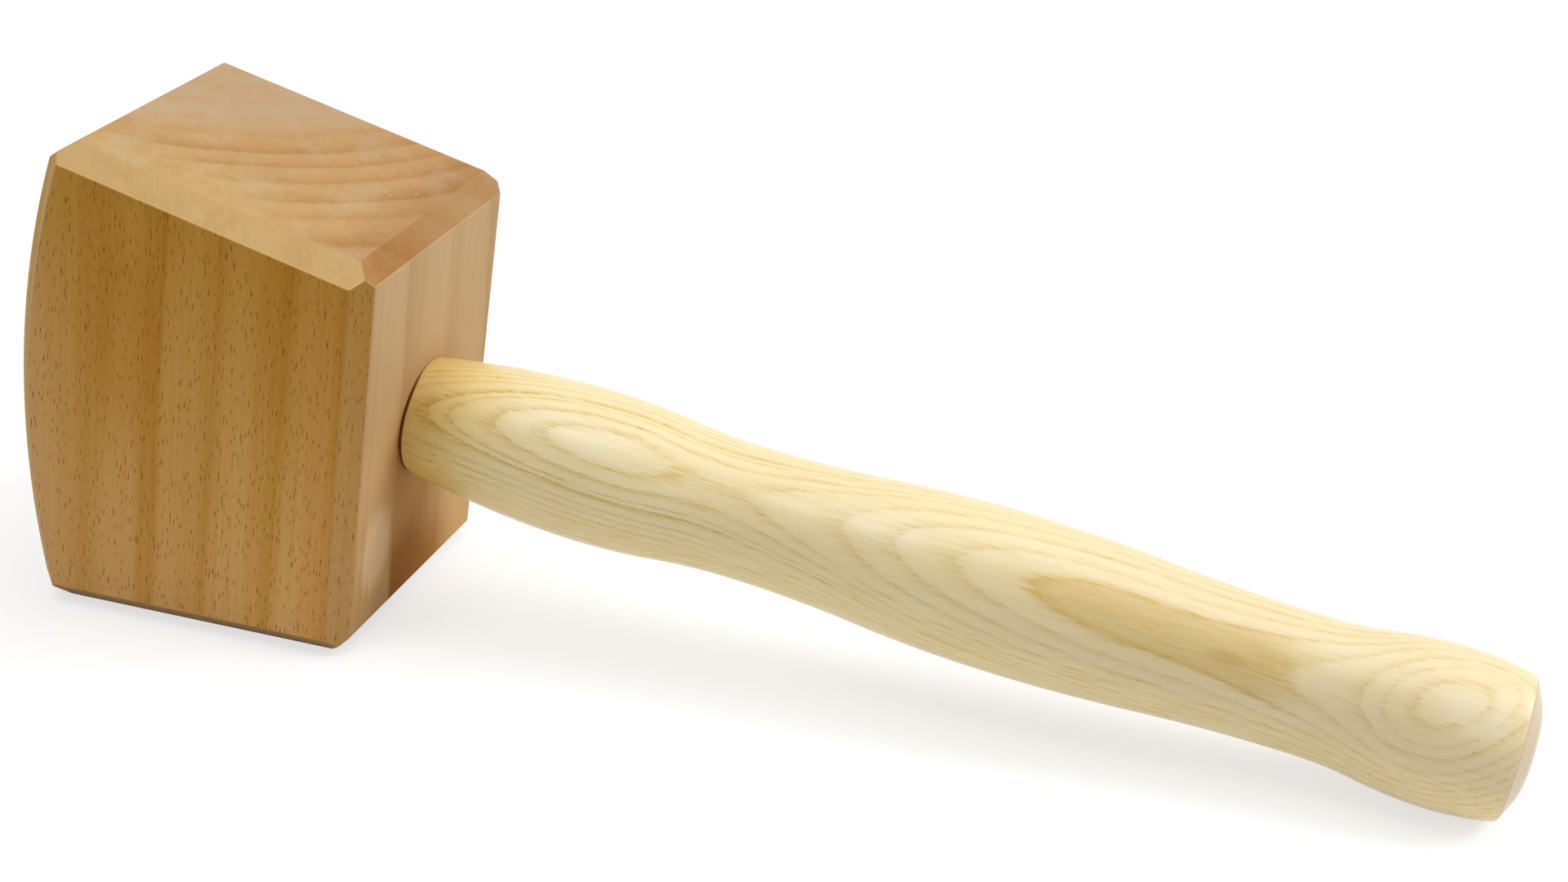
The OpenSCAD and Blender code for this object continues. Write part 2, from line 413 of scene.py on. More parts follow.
def handle_outline():
    """Half outline of the turned handle from the foot of the kerf to the free end, as place and radius."""
    rim_place = HANDLE_LENGTH - END_CONE_LENGTH
    bends = (
        (FIRST_SWELL, SWELL_RADIUS), (FIRST_WAIST, WAIST_RADIUS), (GRIP_SWELL, GRIP_RADIUS),
        (SECOND_WAIST, WAIST_RADIUS), (END_SWELL, SWELL_RADIUS))

    def radius_at(place):
        if place < FIRST_SWELL:
            return SWELL_RADIUS - bend_drop(FIRST_SWELL - place, FIRST_SWELL, SWELL_RADIUS - NECK_RADIUS)
        for before, after in zip(bends, bends[1:]):
            if place < after[0]:
                return wave_radius(place, before, after)
        return SWELL_RADIUS - bend_drop(place - END_SWELL, rim_place - END_SWELL, SWELL_RADIUS - RIM_RADIUS)

    outline = [(KERF_FOOT, 0), (KERF_FOOT, TENON_RADIUS), (0, TENON_RADIUS)]
    for step in range(SHOULDER_STEPS + 1):
        turn = step / SHOULDER_STEPS * math.pi / 2
        outline.append((
            SHOULDER_ROUNDING * (1 - math.cos(turn)),
            radius_at(SHOULDER_ROUNDING) - SHOULDER_ROUNDING * (1 - math.sin(turn))))
    stations = round((rim_place - SHOULDER_ROUNDING) / STATION_STEP)
    for step in range(1, stations):
        place = SHOULDER_ROUNDING + (rim_place - SHOULDER_ROUNDING) * step / stations
        outline.append((place, radius_at(place)))
    rim = (rim_place, RIM_RADIUS)
    flat_edge = (HANDLE_LENGTH, END_FLAT_RADIUS)
    outline.extend(soft_corner(outline[-1], rim, flat_edge, RIM_SOFTENING))
    outline.extend(soft_corner(rim, flat_edge, (HANDLE_LENGTH, 0), FLAT_SOFTENING))
    outline.append((HANDLE_LENGTH, 0))
    return outline


def soft_corner(before, corner, after, reach):
    """Points of a soft bend in place of an outline's corner, from a reach before it to a reach after it."""
    middle = Vector(corner)
    start = middle + (Vector(before) - middle).normalized() * reach
    stop = middle + (Vector(after) - middle).normalized() * reach
    bend = []
    for step in range(SOFTENING_STEPS + 1):
        share = step / SOFTENING_STEPS
        bend.append(tuple(start * (1 - share) ** 2 + middle * 2 * share * (1 - share) + stop * share ** 2))
    return bend


def make_handle():
    outline = handle_outline()
    bpy.ops.object.select_all(action="DESELECT")
    bpy.ops.mesh.primitive_plane_add(size=MM, location=(0, 0, 0))
    handle = bpy.context.object
    handle.name = "ash_handle"
    start_edit(handle)
    bpy.ops.mesh.select_all(action="SELECT")
    bpy.ops.mesh.merge(type="CENTER")
    bpy.ops.mesh.select_all(action="SELECT")
    bpy.ops.transform.translate(value=(outline[0][0], 0, outline[0][1]))
    for before, after in zip(outline, outline[1:]):
        step = (after[0] - before[0], 0, after[1] - before[1])
        bpy.ops.mesh.extrude_vertices_move(TRANSFORM_OT_translate={"value": step})
    bpy.ops.mesh.select_all(action="SELECT")
    bpy.ops.mesh.spin(steps=LATHE_STEPS, angle=2 * math.pi, center=(0, 0, 0), axis=(1, 0, 0))
    bpy.ops.mesh.select_all(action="SELECT")
    bpy.ops.mesh.remove_doubles(threshold=MERGE_DISTANCE)
    bpy.ops.mesh.normals_make_consistent(inside=False)
    end_edit()
    for flip in (1, -1):
        combine(handle, make_leaf(flip), "UNION")
    lay_down(handle)
    finish_normals(handle, ROUND_CREASE)
    return handle


def make_leaf(flip):
    """One half of the split tenon, spread by the wedge and trimmed flush with the crown."""
    leaf = tilted_bar(TENON_RADIUS, flip)
    start_edit(leaf)
    kerf_side = Vector((-math.sin(LEAF_TILT), 0, -flip * math.cos(LEAF_TILT)))
    saw(Vector((KERF_FOOT, 0, 0)) - kerf_side * KERF_WIDTH / 2, kerf_side)
    end_edit()
    combine(leaf, crown_drum(), "INTERSECT")
    return leaf


# Wedge

def make_wedge():
    """Bar in the kerf, tapered towards its tip and trimmed flush with the crown."""
    slope = math.tan(LEAF_TILT)
    butt = WEDGE_THICKNESS / 2 + SPARE * slope
    tip = butt - (WEDGE_LENGTH + SPARE) * slope
    middle = -HEAD_LENGTH + (WEDGE_LENGTH - SPARE) / 2
    bpy.ops.object.select_all(action="DESELECT")
    bpy.ops.mesh.primitive_cube_add(size=1, location=(middle, 0, 0))
    wedge = bpy.context.object
    wedge.name = "crown_wedge"
    wedge.scale = (WEDGE_LENGTH + SPARE, 2 * (TENON_RADIUS - WEDGE_INSET), 2 * butt)
    settle(wedge)
    start_edit(wedge)
    pick(wedge, "FACE", lambda face: face.calc_center_median().x > middle + SPARE)
    bpy.ops.transform.resize(value=(1, 1, tip / butt))
    end_edit()
    combine(wedge, crown_drum(), "INTERSECT")
    lay_down(wedge)
    finish_normals(wedge, FLAT_CREASE)
    return wedge


# Wood finishes, with the number of the mix node's first color input and of its color output

MIX_FIRST_COLOR = 6
MIX_RESULT = 2


class Finish:
    """One procedural wood finish: short calls add its nodes and link them in order."""

    def __init__(self, name):
        self.material = bpy.data.materials.new(name)
        self.material.use_nodes = True
        self.tree = self.material.node_tree
        self.place = self.node("TexCoord")

    def feed(self, socket, value):
        if isinstance(value, bpy.types.NodeSocket):
            self.tree.links.new(value, socket)
        else:
            socket.default_value = value

    def feed_named(self, node, values):
        for name, value in values.items():
            self.feed(node.inputs[name], value)

    def node(self, kind, *values, **settings):
        """New node of a kind with its settings, and with values or links for its first inputs."""
        node = self.tree.nodes.new("ShaderNode" + kind)
        for setting, value in settings.items():
            setattr(node, setting, value)
        for socket, value in zip(node.inputs, values):
            self.feed(socket, value)
        return node

    def math(self, operation, *values, clamp=False):
        return self.node("Math", *values, operation=operation, use_clamp=clamp).outputs[0]

    def times(self, *values):
        total = values[0]
        for value in values[1:]:
            total = self.math("MULTIPLY", total, value)
        return total

    def plus(self, *values, clamp=False):
        total = values[0]
        for value in values[1:-1]:
            total = self.math("ADD", total, value)
        return self.math("ADD", total, values[-1], clamp=clamp)

    def minus(self, value, taken):
        return self.math("SUBTRACT", value, taken)

    def larger(self, first, second):
        return self.math("MAXIMUM", first, second)

    def fade(self, share, first, second):
        """Level that goes from the first to the second as the share goes from 0 to 1."""
        return self.math("MULTIPLY_ADD", self.minus(second, first), share, first)

    def vector(self, operation, *values):
        node = self.node("VectorMath", *values, operation=operation)
        return node.outputs["Value" if operation in ("DOT_PRODUCT", "LENGTH") else "Vector"]

    def split(self, vector):
        return tuple(self.node("SeparateXYZ", vector).outputs)

    def join(self, *values):
        return self.node("CombineXYZ", *values).outputs[0]

    def turn(self, vector, location=(0, 0, 0), rotation=(0, 0, 0), scale=(1, 1, 1)):
        return self.node("Mapping", vector, location, rotation, scale).outputs[0]

    def along_handle(self):
        """Millimetres along the handle's axis, across the head and along the striking direction."""
        back = LYING.to_matrix().inverted()
        location = -(back @ AXIS_FOOT) / MM
        return self.turn(
            self.place.outputs["Object"], location, back.to_euler(), (1 / MM, 1 / MM, 1 / MM))

    def facing(self, axis):
        """How far a face looks along an axis of the mallet, from -1 to 1."""
        return self.vector("DOT_PRODUCT", self.place.outputs["Normal"], LYING.to_matrix() @ Vector(axis))

    def noise(self, vector, waves, detail, roughness):
        """Soft noise from 0 to 1, with the number of its waves per millimetre along each axis."""
        node = self.node("TexNoise", self.vector("MULTIPLY", vector, waves))
        self.feed_named(node, {"Scale": 1, "Detail": detail, "Roughness": roughness})
        return node.outputs["Fac"]

    def drift(self, vector, waves, detail, roughness, low, high):
        """Soft noise from low to high."""
        return self.spread(self.noise(vector, waves, detail, roughness), low, high)

    def cells(self, vector, number):
        """Distance to the nearest of many scattered points, and a chance from 0 to 1 for it.

        Their number is per millimetre along each axis. With none along the third, they lie on a plane.
        """
        scaled = self.vector("MULTIPLY", vector, number)
        node = self.node("TexVoronoi", scaled, voronoi_dimensions="3D" if number[2] else "2D")
        self.feed_named(node, {"Scale": 1})
        return node.outputs["Distance"], self.split(node.outputs["Color"])[0]

    def between(self, value, low, high, start=0.0, end=1.0):
        """Smooth step from start to end as a value goes from low to high."""
        node = self.node("MapRange", value, low, high, start, end, interpolation_type="SMOOTHSTEP")
        return node.outputs["Result"]

    def spread(self, value, low, high):
        """Level from 0 to 1 turned into low to high."""
        return self.node("MapRange", value, 0, 1, low, high, clamp=False).outputs["Result"]

    def polynomial(self, value, factors):
        """Polynomial of a value, with the factors of its rising powers."""
        total = factors[-1]
        for factor in reversed(factors[:-1]):
            total = self.math("MULTIPLY_ADD", value, total, factor)
        return total

    def ramp(self, value, stops, course="LINEAR"):
        """Grey ramp through stops, each a place and a level."""
        node = self.node("ValToRGB", value)
        node.color_ramp.interpolation = course
        marks = node.color_ramp.elements
        while len(marks) < len(stops):
            marks.new(0.5)
        for mark, (place, level) in zip(marks, stops):
            mark.position = place
            mark.color = (level, level, level, 1)
        return node.outputs["Color"]

    def years(self, value, layers):
        """Whole and part years up to a place in the wood. Each layer gives the place where its year ends."""
        start = layers[0][0]
        span = layers[-1][0] - start
        last = len(layers) - 1
        node = self.node("FloatCurve")
        self.feed_named(node, {"Value": self.math("MULTIPLY_ADD", value, 1 / span, -start / span)})
        curve = node.mapping.curves[0]
        for number in range(1, last):
            curve.points.new((layers[number][0] - start) / span, number / last)
        for point in curve.points:
            point.handle_type = "VECTOR"
        node.mapping.update()
        return self.times(node.outputs[0], last)

    def rings(self, years, layers):
        """Share of its year that a place in the wood has reached, and the strength of that year's layer."""
        last = len(layers) - 1
        steps = [(number / last, layer[1]) for number, layer in enumerate(layers[1:])]
        strength = self.ramp(self.math("DIVIDE", years, last), steps, "CONSTANT")
        return self.math("FRACT", years), strength

    def spot(self, across, along, place, reach, ragged):
        """Soft patch: 1 around a place, falling to 0 at its reach along both axes, with a ragged border."""
        off_across = self.math("DIVIDE", self.minus(across, place[0]), reach[0])
        off_along = self.math("DIVIDE", self.minus(along, place[1]), reach[1])
        off = self.vector("LENGTH", self.join(off_across, off_along, 0))
        return self.between(self.plus(off, ragged), *SPOT_BORDER)

    def mix(self, share, first, second, blend="MIX"):
        node = self.node("Mix", share, data_type="RGBA", blend_type=blend)
        for socket, value in zip(node.inputs[MIX_FIRST_COLOR:], (first, second)):
            self.feed(socket, (*value, 1) if isinstance(value, tuple) else value)
        return node.outputs[MIX_RESULT]

    def tint(self, color, tint, share=1.0):
        """Color times a tint, by a share of it."""
        return self.mix(share, color, tint, "MULTIPLY")

    def bump(self, height, strength, distance):
        node = self.node("Bump")
        self.feed_named(node, {"Strength": strength, "Distance": distance, "Height": height})
        return node.outputs["Normal"]

    def attribute(self, name):
        return self.node("Attribute", attribute_name=name).outputs["Fac"]

    def shade(self, color, roughness, normal, gloss):
        shader = self.tree.nodes["Principled BSDF"]
        self.feed_named(shader, {"Base Color": color, "Roughness": roughness, "Normal": normal})
        shader.inputs["Specular IOR Level"].default_value = gloss
        return self.material


# Values of the finishes, in millimetres along the handle, across and up. A drift has waves per millimetre
# along each axis, detail, roughness and two ends. A noise has no ends. A span has the values where a mask
# starts and is complete, and its levels there if not 0 and 1. A patch has a place and its reach.
SPOT_BORDER = (1.0, 0.45)

# Beech: where the pith runs beside the head, and how it leans along the grain
BEECH_PITH = (-112.2, 62.7)
BEECH_PITH_LEAN = (0.0328, 0.0144)
# Distance from the pith at which each year's ring ends, and how dark its late wood is
BEECH_RINGS = (
    (30, 0.4), (38, 0.4), (46.5, 0.4), (55, 0.35), (63.5, 0.35), (72, 0.35), (80, 0.35), (87.5, 0.3),
    (95.3, 0.85), (101.6, 0.65), (108.5, 0.6), (117.1, 0.95), (124.0, 0.5), (135.8, 1.0), (147.0, 0.7),
    (158.0, 0.7))
# How dark the wood gets through one year: in general, and softer along the grain
BEECH_YEAR = ((0, 0.7), (0.05, 0.3), (0.12, 0.06), (0.2, 0.0), (0.45, 0.12), (0.75, 0.55), (0.97, 1.0))
BEECH_SOFT_YEAR = ((0, 0.85), (0.08, 0.55), (0.2, 0.18), (0.34, 0.0), (0.5, 0.1), (0.75, 0.5), (0.95, 1.0))
BEECH_SOFT_SHARE = 0.75
# Drifts that bend the rings, and drifts that darken and lighten the wood
BEECH_SWAY = ((0.05, 0.05, 0.008), 2, 0.5, -0.9, 0.9)
BEECH_RAGGED = ((0.45, 0.45, 0.02), 3, 0.6, -0.6, 0.6)
BEECH_STREAK = ((0.5, 0.5, 0.01), 4, 0.6, -0.45, 0.45)
BEECH_CLOUD = ((0.03, 0.03, 0.01), 2, 0.5, -0.3, 0.5)
BEECH_BAND = ((0.17, 0.17, 0.004), 2, 0.6, -0.4, 0.4)
BEECH_THREAD = ((1.2, 1.2, 0.015), 3, 0.6, -0.34, 0.34)
BEECH_BLOTCH = ((0.14, 0.14, 0.14), 4, 0.6, -0.6, 1.4)
BEECH_END_BLOTCH = 0.4
BEECH_PLAIN_BLOTCH = 0.6
# Spans of the directions in which the faces and chamfers look
BEECH_SLANTED_OVER = (0.2, 0.75)
BEECH_SLANTED_UP = (0.5, 0.62)
BEECH_TO_HANDLE = (0.25, 0.55)
BEECH_TO_CROWN = (-0.5, -0.65)
BEECH_FLAT = (0.8, 0.95)
BEECH_FLAT_CROWN = (-0.8, -0.95)
# The same for the rounded edges between a striking face and its cheek chamfer, and between that and a cheek
BEECH_STRIKE_EDGE_OVER = (0.1, 0.3)
BEECH_STRIKE_EDGE_UP = (0.74, 0.82)
BEECH_CHEEK_EDGE_START = (0.73, 0.8)
BEECH_CHEEK_EDGE_STOP = (0.98, 0.92)
BEECH_CHEEK_EDGE_UP = (0.2, 0.35)

# Handle side: light and dark wood, and tints of its lower and upper end
BEECH_SIDE = ((0.605, 0.395, 0.20), (0.51, 0.315, 0.138))
BEECH_SIDE_TINTS = ((0.99, 0.93, 0.78), (0.94, 0.97, 1.04))
BEECH_SIDE_SPAN = (-40, 30)
# It has painted shade with warm bounce around the handle, is rubbed pale beside it, and below it has darker
# late wood with the handle's painted shadow, up to one ring
BEECH_WAVY_BORDER = 0.3
BEECH_HANDLE_SHADE_TINT = (0.93, 0.81, 0.56)
BEECH_HANDLE_SHADE_PATCH = ((0, -7), (26, 28))
BEECH_RUB = (0.77, 0.54, 0.31)
BEECH_RUB_PATCH = ((-21, -26), (8.5, 14))
BEECH_RUB_SHARE = 0.85
BEECH_DARK_WOOD_AND_SHADOW = (0.337, 0.114, 0.0)
BEECH_DARK_WOOD_AND_SHADOW_PATCH = ((-9, -47), (34, 28))
BEECH_DARK_WOOD_AND_SHADOW_SPAN = (136.3, 135.3, 0.0, 0.88)

# Cheeks: light and dark wood; then painted floor bounce, lighter and yellower towards the bottom and darker
# at the top: its low and high tint, and the high one's share per millimetre and at the axis
BEECH_CHEEK = ((0.675, 0.357, 0.095), (0.54, 0.24, 0.028))
BEECH_CHEEK_BOUNCE_TINTS = ((1.135, 1.22, 1.6), (0.913, 0.86, 0.5))
BEECH_CHEEK_BOUNCE_RISE = (0.01, 0.5)
# Tints of a browner and a paler patch of the cheeks, and of their ends at the crown and at the handle side
BEECH_CHEEK_PATCHES = (
    (((-56, 18), (10, 32)), (0.95, 0.88, 0.68)),
    (((-21, -27), (13, 45)), (1.05, 1.11, 1.22)))
BEECH_CHEEK_ENDS = (
    ((-68, -84), (1.06, 1.13, 1.65)),
    ((-16, -9), (0.97, 0.92, 0.88)))
# Crown: light and dark wood
BEECH_CROWN = ((0.66, 0.38, 0.13), (0.55, 0.28, 0.07))

# Striking faces: light and dark wood, and paler heartwood near the pith and in a haze
BEECH_STRIKE = ((0.52, 0.313, 0.132), (0.42, 0.222, 0.076))
BEECH_HEART = (0.495, 0.34, 0.195)
BEECH_HEART_SPAN = (92, 76, 0.0, 0.9)
BEECH_HEART_BLOTCH = (0.9, 0.2, 0.55, 1.0)
BEECH_HAZE = ((0.08, 0.08, 0.08), 3, 0.6)
BEECH_HAZE_SPAN = (0.5, 0.68, 0.0, 0.5)
# Tints from the near to the far cheek, and towards the handle side
BEECH_STRIKE_TINTS = ((1.04, 1.09, 1.14), (0.96, 0.96, 0.98))
BEECH_STRIKE_SPAN = (-32, 24)
BEECH_EDGE_TINT = (0.88, 0.82, 0.82)
BEECH_EDGE_SPAN = (-18, -5)
# Plainer border along the near cheek, with blotches in its edge, which ends before the handle side
BEECH_BORDER_TINT = (1.01, 1.05, 1.0)
BEECH_BORDER_BLOTCH = -5.0
BEECH_BORDER_ACROSS = (-16, -30)
BEECH_BORDER_ALONG = (-14, -34)

# Chamfers: light and dark wood beside the cheeks, at the crown's rims, over the handle side and in front
BEECH_UPRIGHT = ((0.53, 0.30, 0.10), (0.45, 0.235, 0.065))
BEECH_RIM = ((0.75, 0.49, 0.175), (0.61, 0.35, 0.09))
BEECH_BROW = ((0.42, 0.232, 0.089), (0.362, 0.175, 0.047))
BEECH_FRONT = ((0.70, 0.455, 0.195), (0.60, 0.365, 0.135))
# The share of rings on the last two, and their tints by place; the lower front chamfer's tint is painted
# shade, as it faces down
BEECH_BROW_RINGS = 0.55
BEECH_BROW_TINTS = ((0.88, 0.80, 0.72), (1.01, 1.10, 1.38))
BEECH_BROW_SPAN = (-26, 20)
BEECH_BROW_TIP_TINT = (1.12, 1.20, 1.30)
BEECH_BROW_TIP_SPAN = (-25, -30)
BEECH_FRONT_RINGS = 0.3
BEECH_UNDER_SHADE_TINT = (0.5, 0.4, 0.25)
BEECH_UNDER_SHADE_SPAN = (0, -20)

# Flecks on cheeks and upright chamfers: colour, lean, and cells per millimetre with the reach in each
BEECH_FLECK = (0.25, 0.088, 0.001)
BEECH_FLECK_LEAN = (0.3, -0.05)
BEECH_FLECK_CELLS = (((1.3, 0.2, 0), 0.2), ((0.9, 0.12, 0), 0.16))
BEECH_FLECK_CORE = 1 / 3
BEECH_FLECK_CHANCE = (0.25, 0.95)
BEECH_FLECK_SHARE = 0.9
# Fine grain: rays from the pith on end grain, fibres everywhere, and the tints of low and high grain
BEECH_RAY = ((1.6, 0.05, 0.03), 3, 0.6)
BEECH_RAY_REACH = 80
BEECH_FIBRE = ((2.2, 2.2, 0.05), 3, 0.6)
BEECH_GRAIN_SHARE = 0.75
BEECH_GRAIN_TINTS = ((0.93, 0.92, 0.90), (1.07, 1.08, 1.10))
# Scuffs: dents in the striking faces and worn edges; and a painted highlight on the rounded edge over the
# cheeks
BEECH_SCUFF = (0.80, 0.62, 0.40)
BEECH_SCUFF_SHARE = 0.45
BEECH_DENT_CELLS = (0.22, 0.22, 0.22)
BEECH_DENT_SPAN = (0.1, 0.04)
BEECH_DENT_CHANCE = (0.7, 0.95)
BEECH_WEAR = ((0.35, 0.35, 0.35), 3, 0.6)
BEECH_WEAR_SPAN = (0.42, 0.68)
BEECH_EDGE_HIGHLIGHT = (1.0, 0.66, 0.26)
BEECH_EDGE_HIGHLIGHT_SPAN = (-10, 10, 0.0, 0.7)
# Surface
BEECH_ROUGHNESS = (0.5, 0.62)
BEECH_STRIKE_ROUGHER = 0.12
BEECH_GRAIN_HEIGHT = 0.5
BEECH_BUMP = (0.35, 0.05 * MM)
BEECH_GLOSS = 0.05


def beech_figure(wood):
    """Places in the head, and how dark its rings and drifts make each kind of face, from 0 to 1."""
    place = wood.along_handle()
    x, y, z = wood.split(place)
    lean_x, lean_y = BEECH_PITH_LEAN
    across = wood.minus(wood.math("MULTIPLY_ADD", z, -lean_x, x), BEECH_PITH[0])
    deep = wood.minus(wood.math("MULTIPLY_ADD", z, -lean_y, y), BEECH_PITH[1])
    bent = wood.plus(wood.drift(place, *BEECH_SWAY), wood.drift(place, *BEECH_RAGGED))
    radius = wood.plus(wood.vector("LENGTH", wood.join(across, deep, 0)), bent)
    year, strength = wood.rings(wood.years(radius, BEECH_RINGS), BEECH_RINGS)
    late = wood.times(wood.ramp(year, BEECH_YEAR), strength)
    soft = wood.times(wood.ramp(year, BEECH_SOFT_YEAR), strength, BEECH_SOFT_SHARE)
    streak = wood.drift(place, *BEECH_STREAK)
    uneven = wood.plus(streak, wood.drift(place, *BEECH_CLOUD))
    lines = wood.plus(wood.drift(place, *BEECH_BAND), wood.drift(place, *BEECH_THREAD))
    blotch = wood.drift(place, *BEECH_BLOTCH)
    return SimpleNamespace(
        place=place, x=x, y=y, z=z, radius=radius, streak=streak, blotch=blotch,
        angle=wood.math("ARCTAN2", deep, across),
        tone=wood.plus(late, uneven, clamp=True),
        long_tone=wood.plus(soft, uneven, lines, clamp=True),
        end_tone=wood.plus(late, uneven, wood.times(blotch, BEECH_END_BLOTCH), clamp=True),
        plain_tone=wood.plus(streak, wood.times(blotch, BEECH_PLAIN_BLOTCH), clamp=True))


def beech_faces(wood):
    """Masks of the head's faces, chamfers and rounded edges, from the way that each looks."""
    along = wood.facing((1, 0, 0))
    over = wood.math("ABSOLUTE", wood.facing((0, 1, 0)))
    up = wood.math("ABSOLUTE", wood.facing((0, 0, 1)))
    slanted_over = wood.between(over, *BEECH_SLANTED_OVER)
    slanted_up = wood.between(up, *BEECH_SLANTED_UP)
    to_handle = wood.between(along, *BEECH_TO_HANDLE)
    cheek_edge = wood.times(
        wood.between(over, *BEECH_CHEEK_EDGE_START), wood.between(over, *BEECH_CHEEK_EDGE_STOP))
    return SimpleNamespace(
        to_handle=to_handle, slanted_up=slanted_up,
        cheek=wood.between(over, *BEECH_FLAT),
        strike=wood.between(up, *BEECH_FLAT),
        crown=wood.between(along, *BEECH_FLAT_CROWN),
        upright=wood.times(slanted_over, to_handle),
        rim=wood.times(slanted_over, wood.between(along, *BEECH_TO_CROWN)),
        front=wood.times(slanted_over, slanted_up),
        brow=wood.times(slanted_up, to_handle),
        strike_edge=wood.times(
            wood.between(over, *BEECH_STRIKE_EDGE_OVER), wood.between(up, *BEECH_STRIKE_EDGE_UP)),
        cheek_edge=wood.times(cheek_edge, wood.between(up, *BEECH_CHEEK_EDGE_UP)))


def beech_side_color(wood, figure, faces):
    """Handle side: painted shade with warm bounce around the handle, rubbed beside it, and darker late wood
    with the handle's painted shadow below it.
    """
    y, z, streak = figure.y, figure.z, figure.streak
    color = wood.mix(figure.tone, *BEECH_SIDE)
    color = wood.tint(color, wood.mix(wood.between(z, *BEECH_SIDE_SPAN), *BEECH_SIDE_TINTS))
    wavy = wood.times(streak, BEECH_WAVY_BORDER)
    # Painted shade with warm bounce from the handle, around it
    handle_shade = wood.spot(y, z, *BEECH_HANDLE_SHADE_PATCH, wavy)
    color = wood.tint(color, BEECH_HANDLE_SHADE_TINT, wood.times(handle_shade, faces.to_handle))
    rubbed = wood.spot(y, z, *BEECH_RUB_PATCH, streak)
    color = wood.mix(wood.times(rubbed, BEECH_RUB_SHARE, faces.to_handle), color, BEECH_RUB)
    # Painted shadow of the handle below it, on darker late wood inside one ring
    dark_wood_and_shadow = wood.spot(y, z, *BEECH_DARK_WOOD_AND_SHADOW_PATCH, wavy)
    dark_wood_and_shadow = wood.times(dark_wood_and_shadow, wood.between(figure.radius, *BEECH_DARK_WOOD_AND_SHADOW_SPAN), faces.to_handle)
    return wood.mix(dark_wood_and_shadow, color, BEECH_DARK_WOOD_AND_SHADOW)


def beech_cheek_color(wood, figure, bounce_tint):
    color = wood.tint(wood.mix(figure.long_tone, *BEECH_CHEEK), bounce_tint)
    for patch, tint in BEECH_CHEEK_PATCHES:
        color = wood.tint(color, tint, wood.spot(figure.x, figure.z, *patch, figure.streak))
    for span, tint in BEECH_CHEEK_ENDS:
        color = wood.tint(color, tint, wood.between(figure.x, *span))
    return color


def beech_strike_color(wood, figure):
    """Striking faces: end grain with the arcs of the rings, pale heartwood and a plainer border."""
    x, y = figure.x, figure.y
    haze = wood.between(wood.noise(figure.place, *BEECH_HAZE), *BEECH_HAZE_SPAN)
    heart = wood.between(figure.radius, *BEECH_HEART_SPAN)
    heart = wood.times(heart, wood.between(figure.blotch, *BEECH_HEART_BLOTCH))
    edge = wood.math("MULTIPLY_ADD", figure.blotch, BEECH_BORDER_BLOTCH, y)
    border = wood.times(wood.between(edge, *BEECH_BORDER_ACROSS), wood.between(x, *BEECH_BORDER_ALONG))
    tone = wood.fade(border, figure.end_tone, figure.plain_tone)
    color = wood.mix(wood.larger(heart, haze), wood.mix(tone, *BEECH_STRIKE), BEECH_HEART)
    color = wood.tint(color, BEECH_BORDER_TINT, border)
    color = wood.tint(color, wood.mix(wood.between(y, *BEECH_STRIKE_SPAN), *BEECH_STRIKE_TINTS))
    return wood.tint(color, BEECH_EDGE_TINT, wood.between(x, *BEECH_EDGE_SPAN))


def beech_chamfers(wood, figure, faces, bounce_tint, color):
    y, z = figure.y, figure.z
    upright = wood.tint(wood.mix(figure.long_tone, *BEECH_UPRIGHT), bounce_tint)
    color = wood.mix(faces.upright, color, upright)
    brow_tone = wood.fade(BEECH_BROW_RINGS, figure.plain_tone, figure.end_tone)
    brow = wood.mix(brow_tone, *BEECH_BROW)
    brow = wood.tint(brow, wood.mix(wood.between(y, *BEECH_BROW_SPAN), *BEECH_BROW_TINTS))
    brow = wood.tint(brow, BEECH_BROW_TIP_TINT, wood.between(y, *BEECH_BROW_TIP_SPAN))
    color = wood.mix(faces.brow, color, brow)
    color = wood.mix(faces.rim, color, wood.mix(figure.tone, *BEECH_RIM))
    front_tone = wood.fade(BEECH_FRONT_RINGS, figure.plain_tone, figure.end_tone)
    front = wood.mix(front_tone, *BEECH_FRONT)
    # Painted shade: the lower front chamfer darker, as it faces down
    front = wood.tint(front, BEECH_UNDER_SHADE_TINT, wood.between(z, *BEECH_UNDER_SHADE_SPAN))
    return wood.mix(faces.front, color, front)


def beech_flecks(wood, figure, faces):
    """Short dashes along the grain on the cheeks and the upright chamfers."""
    lean_y, lean_z = BEECH_FLECK_LEAN
    leaning = wood.math("MULTIPLY_ADD", figure.z, lean_z, figure.x)
    leaning = wood.math("MULTIPLY_ADD", figure.y, lean_y, leaning)
    fleck = 0.0
    for cells, reach in BEECH_FLECK_CELLS:
        distance, chance = wood.cells(wood.join(leaning, figure.z, 0), cells)
        dash = wood.between(distance, reach, reach * BEECH_FLECK_CORE)
        fleck = wood.larger(fleck, wood.times(dash, wood.between(chance, *BEECH_FLECK_CHANCE)))
    return wood.times(fleck, wood.larger(faces.cheek, faces.upright))


